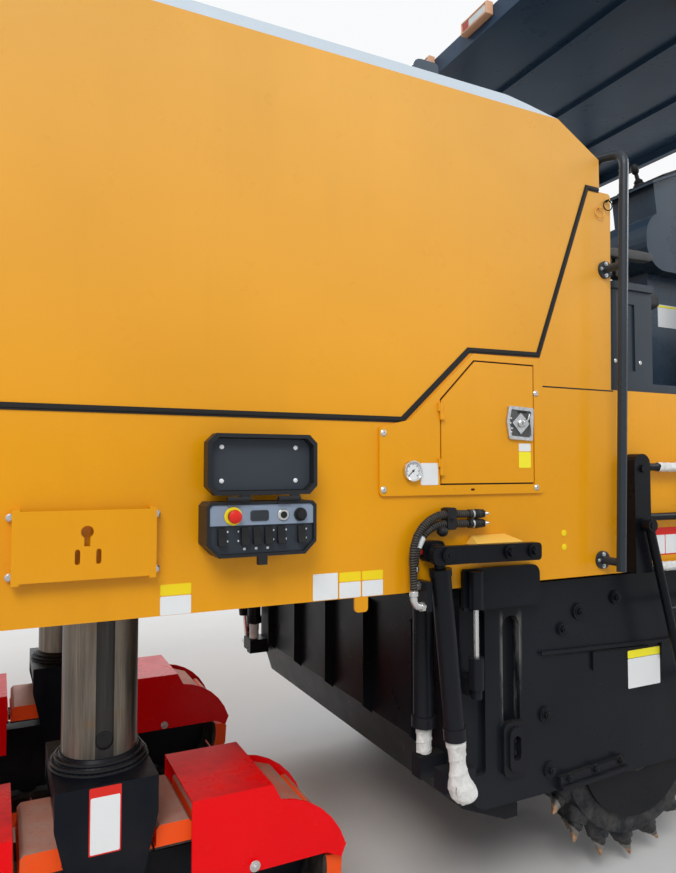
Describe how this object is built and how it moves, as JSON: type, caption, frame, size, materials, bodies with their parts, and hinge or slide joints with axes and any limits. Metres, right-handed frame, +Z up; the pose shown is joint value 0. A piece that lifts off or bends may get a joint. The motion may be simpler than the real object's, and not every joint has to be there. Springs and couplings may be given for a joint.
{
  "type": "cold planer milling machine",
  "caption": "Road milling machine on steered tracks with height-adjustable legs, a picked drum in its housing, tilting hood, canopied deck and folding discharge conveyor.",
  "frame": {"origin": "on the ground under the centre of the bounding box", "axes": "+X forward, +Y to the machine's left, +Z up"},
  "size_m": [14.6746, 2.432, 4.12],
  "materials": {
    "yellow_paint": "gloss",
    "engine_iron": "matte",
    "black_paint": "satin",
    "leg_steel": "dull, dusty",
    "slate_paint": "satin",
    "seat_cover": "matte",
    "black_plastic": "matte",
    "hose_rubber": "matte",
    "lamp_glass": "clear",
    "dull_steel": "dull",
    "worn_steel": "worn",
    "chrome_rod": "polished",
    "white_cloth": "matte",
    "track_pad": "dusty",
    "red_paint": "gloss"
  },
  "bodies": {
    "root": {"main_frame": "yellow_paint", "cross_members": "yellow_paint", "column_plates": "yellow_paint", "engine_block": "engine_iron", "drum_housing": "black_paint", "leg_tubes": "black_paint", "operator_deck": "slate_paint", "consoles": "slate_paint", "seats": "seat_cover", "handrails": "slate_paint", "side_covers": "yellow_paint", "control_box": "black_plastic", "lift_arms": "black_paint", "hoses": "hose_rubber", "gathering_conveyor": "black_paint", "ladder_frames": "black_paint", "front_frame": "black_paint", "lamps": "lamp_glass"},
    "hood_body": {"hood": "yellow_paint", "hood_sides": "yellow_paint", "hood_roof": "slate_paint", "rear_grille": "black_paint", "exhaust": "dull_steel"},
    "door_body": {"service_door": "yellow_paint"},
    "lid_body": {"control_lid": "black_plastic"},
    "drum_body": {"milling_drum": "worn_steel"},
    "plate_right": {"side_plate_right": "black_paint"},
    "plate_left": {"side_plate_left": "black_paint"},
    "barrel_right": {"lift_barrel_right": "black_paint"},
    "barrel_left": {"lift_barrel_left": "black_paint"},
    "rod_right": {"lift_rod_right": "chrome_rod", "rod_wrap": "white_cloth"},
    "rod_left": {"lift_rod_left": "chrome_rod"},
    "scraper_body": {"scraper": "black_paint"},
    "canopy_body": {"canopy": "slate_paint"},
    "slew_body": {"slew_bracket": "yellow_paint"},
    "boom_body": {"boom_rear": "yellow_paint"},
    "jib_body": {"boom_front": "yellow_paint"},
    "ram_barrel": {"boom_barrel": "black_paint"},
    "ram_rod": {"boom_rod": "chrome_rod"},
    "ladder_body_right": {"ladder_right": "black_paint"},
    "ladder_body_left": {"ladder_left": "black_paint"},
    "steer_rr": {"steer_ring_rr": "black_paint"},
    "leg_body_rr": {"leg_rr": "leg_steel", "track_rr": "track_pad", "guard_rr": "red_paint"},
    "steer_rl": {"steer_ring_rl": "black_paint"},
    "leg_body_rl": {"leg_rl": "leg_steel", "track_rl": "track_pad", "guard_rl": "red_paint"},
    "steer_fr": {"steer_ring_fr": "black_paint"},
    "leg_body_fr": {"leg_fr": "leg_steel", "track_fr": "track_pad", "guard_fr": "red_paint"},
    "steer_fl": {"steer_ring_fl": "black_paint"},
    "leg_body_fl": {"leg_fl": "leg_steel", "track_fl": "track_pad", "guard_fl": "red_paint"}
  },
  "joints": [
    {"name": "hood_tilt", "type": "hinge", "parent": "root", "child": "hood_body", "pos_m": [-7.31729, 0, 1.905], "axis": [0, -1, 0], "range_deg": [0, 35]},
    {"name": "service_door_swing", "type": "hinge", "parent": "root", "child": "door_body", "pos_m": [-4.73529, -1.097, 1.865], "axis": [0, 0, 1], "range_deg": [-110, 0]},
    {"name": "control_lid_fold", "type": "hinge", "parent": "root", "child": "lid_body", "pos_m": [-5.43729, -1.181, 1.604], "axis": [1, 0, 0], "range_deg": [0, 180]},
    {"name": "drum_spin", "type": "hinge", "parent": "root", "child": "drum_body", "pos_m": [-3.68729, 0, 0.545], "axis": [0, 1, 0], "continuous": true},
    {"name": "side_plate_lift_right", "type": "slide", "parent": "root", "child": "plate_right", "axis": [0, 0, 1], "range_m": [-0.36, 0]},
    {"name": "lift_barrel_swing_right", "type": "hinge", "parent": "root", "child": "barrel_right", "pos_m": [-4.77929, -1.137, 1.4], "axis": [0, 1, 0], "range_deg": [-0.1, 2.2]},
    {"name": "lift_rod_slide_right", "type": "slide", "parent": "barrel_right", "child": "rod_right", "axis": [0.1007, 0, -0.9949], "range_m": [-0.001, 0.365]},
    {"name": "side_plate_lift_left", "type": "slide", "parent": "root", "child": "plate_left", "axis": [0, 0, 1], "range_m": [-0.36, 0]},
    {"name": "lift_barrel_swing_left", "type": "hinge", "parent": "root", "child": "barrel_left", "pos_m": [-4.77929, 1.137, 1.4], "axis": [0, 1, 0], "range_deg": [-0.1, 2.2]},
    {"name": "lift_rod_slide_left", "type": "slide", "parent": "barrel_left", "child": "rod_left", "axis": [0.1007, 0, -0.9949], "range_m": [-0.001, 0.365]},
    {"name": "scraper_lift", "type": "slide", "parent": "root", "child": "scraper_body", "axis": [0, 0, 1], "range_m": [-0.28, 0]},
    {"name": "canopy_lift", "type": "slide", "parent": "root", "child": "canopy_body", "axis": [0, 0, 1], "range_m": [-0.65, 0]},
    {"name": "boom_slew", "type": "hinge", "parent": "root", "child": "slew_body", "pos_m": [0.27271, 0, 1.162], "axis": [0, 0, 1], "range_deg": [-50, 50]},
    {"name": "boom_lift", "type": "hinge", "parent": "slew_body", "child": "boom_body", "pos_m": [0.33271, 0, 1.42], "axis": [0, -1, 0], "range_deg": [-12, 10]},
    {"name": "boom_fold", "type": "hinge", "parent": "boom_body", "child": "jib_body", "pos_m": [5.20644, 0, 2.54034], "axis": [0, 1, 0], "range_deg": [0, 160]},
    {"name": "ram_swing", "type": "hinge", "parent": "slew_body", "child": "ram_barrel", "pos_m": [0.53271, 0, 1.1823], "axis": [0, -1, 0], "range_deg": [-14, 12]},
    {"name": "ram_slide", "type": "slide", "parent": "ram_barrel", "child": "ram_rod", "axis": [0.9079, 0, 0.4192], "range_m": [-0.07, 0.06]},
    {"name": "ladder_swing_right", "type": "hinge", "parent": "root", "child": "ladder_body_right", "pos_m": [-3.76729, -1.168, 1.462], "axis": [0, -1, 0], "range_deg": [0, 75]},
    {"name": "ladder_swing_left", "type": "hinge", "parent": "root", "child": "ladder_body_left", "pos_m": [-3.76729, 1.168, 1.462], "axis": [0, -1, 0], "range_deg": [0, 75]},
    {"name": "steer_rear_right", "type": "hinge", "parent": "root", "child": "steer_rr", "pos_m": [-5.83929, -0.7, 1.262], "axis": [0, 0, 1], "range_deg": [-18, 18]},
    {"name": "leg_lift_rear_right", "type": "slide", "parent": "steer_rr", "child": "leg_body_rr", "axis": [0, 0, 1], "range_m": [-0.2, 0.375]},
    {"name": "steer_rear_left", "type": "hinge", "parent": "root", "child": "steer_rl", "pos_m": [-5.83929, 0.7, 1.262], "axis": [0, 0, 1], "range_deg": [-18, 18]},
    {"name": "leg_lift_rear_left", "type": "slide", "parent": "steer_rl", "child": "leg_body_rl", "axis": [0, 0, 1], "range_m": [-0.2, 0.375]},
    {"name": "steer_front_right", "type": "hinge", "parent": "root", "child": "steer_fr", "pos_m": [-1.18729, -0.7, 1.262], "axis": [0, 0, 1], "range_deg": [-18, 18]},
    {"name": "leg_lift_front_right", "type": "slide", "parent": "steer_fr", "child": "leg_body_fr", "axis": [0, 0, 1], "range_m": [-0.2, 0.375]},
    {"name": "steer_front_left", "type": "hinge", "parent": "root", "child": "steer_fl", "pos_m": [-1.18729, 0.7, 1.262], "axis": [0, 0, 1], "range_deg": [-18, 18]},
    {"name": "leg_lift_front_left", "type": "slide", "parent": "steer_fl", "child": "leg_body_fl", "axis": [0, 0, 1], "range_m": [-0.2, 0.375]}
  ],
  "couplings": [
    {"joint": "lift_barrel_swing_right", "follows": "side_plate_lift_right", "rad_per_m": -0.085888},
    {"joint": "lift_rod_slide_right", "follows": "side_plate_lift_right", "ratio": -0.99647},
    {"joint": "lift_barrel_swing_left", "follows": "side_plate_lift_left", "rad_per_m": -0.085888},
    {"joint": "lift_rod_slide_left", "follows": "side_plate_lift_left", "ratio": -0.99647},
    {"joint": "ram_swing", "follows": "boom_lift", "ratio": 1.0962},
    {"joint": "ram_slide", "follows": "boom_lift", "m_per_rad": 0.29564}
  ]
}
